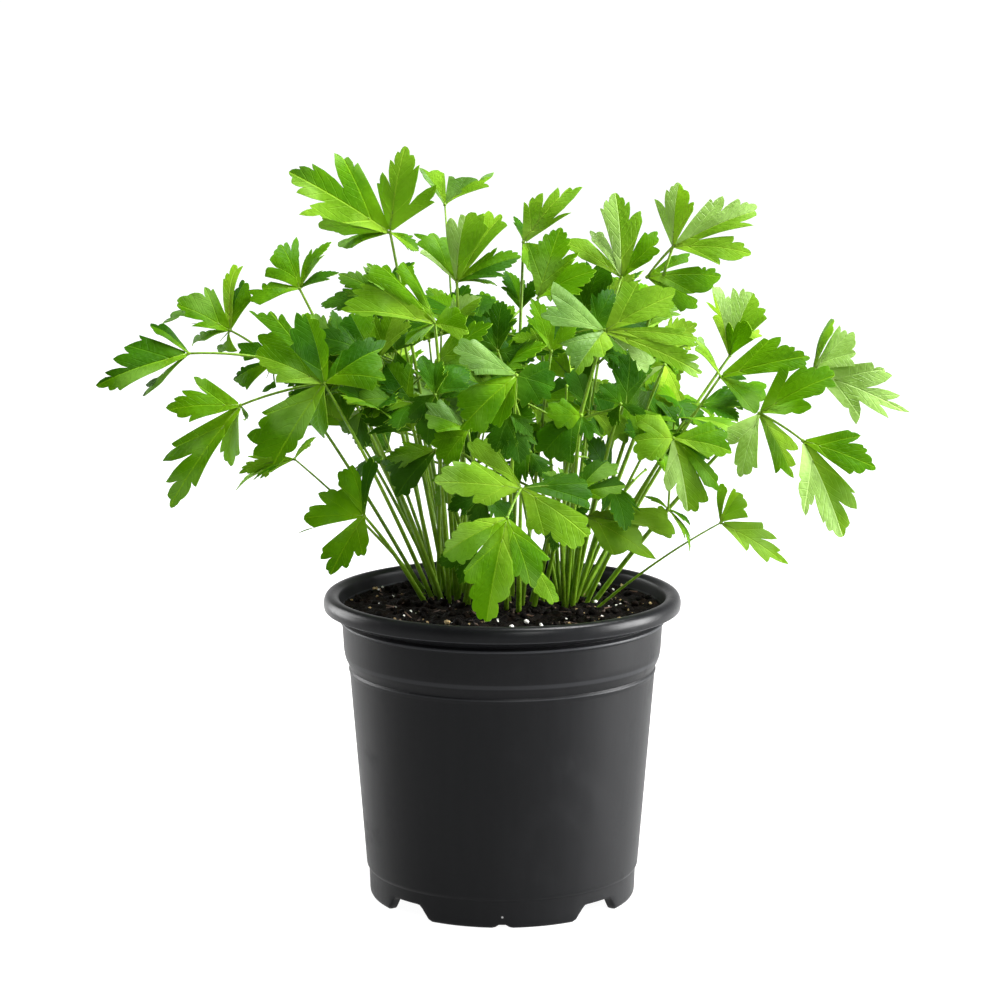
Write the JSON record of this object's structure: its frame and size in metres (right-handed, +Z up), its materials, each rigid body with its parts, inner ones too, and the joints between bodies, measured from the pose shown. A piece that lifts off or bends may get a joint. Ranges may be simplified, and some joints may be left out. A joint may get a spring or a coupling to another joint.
{
  "type": "potted parsley",
  "caption": "Bushy flat-leaf herb with three-lobed leaflets on thin stems, growing from soil in a round tapered nursery pot with a rolled rim.",
  "frame": {"origin": "middle of the pot's foot, on the surface that the pot stands on", "axes": "+Z up; +X to the right and -Y to the front as the picture shows the plant"},
  "size_m": [0.3507, 0.2385, 0.3285],
  "materials": {
    "pot_plastic": "satin black injection-moulded plastic, glossier on the rolled rim",
    "soil": "dark, damp peat with bark and white perlite",
    "leaf": "fresh green leaf with a soft sheen, paler underneath"
  },
  "bodies": {
    "root": {"pot": "pot_plastic", "soil": "soil", "stem_back_far_left": "leaf", "stem_back_far_right": "leaf", "stem_back_left": "leaf", "stem_back_middle": "leaf", "stem_back_right": "leaf", "stem_centre_right": "leaf", "stem_centre_right_low": "leaf", "stem_centre_strip": "leaf", "stem_centre_top": "leaf", "stem_far_left": "leaf", "stem_far_low_left": "leaf", "stem_far_right": "leaf", "stem_far_top": "leaf", "stem_front": "leaf", "stem_front_centre": "leaf", "stem_left_fan": "leaf", "stem_left_hollow": "leaf", "stem_left_inner": "leaf", "stem_left_low": "leaf", "stem_left_shade": "leaf", "stem_low_centre": "leaf", "stem_low_left": "leaf", "stem_low_right": "leaf", "stem_mid_left": "leaf", "stem_right_crown": "leaf", "stem_right_hollow": "leaf", "stem_right_inner": "leaf", "stem_right_low": "leaf", "stem_right_middle": "leaf", "stem_right_pale": "leaf", "stem_right_top": "leaf", "stem_right_trailing": "leaf", "stem_shade_centre": "leaf", "stem_shade_left": "leaf", "stem_shade_right": "leaf", "stem_shade_top": "leaf", "stem_top_left": "leaf", "stem_top_middle": "leaf", "stem_upper_left": "leaf"}
  },
  "joints": []
}
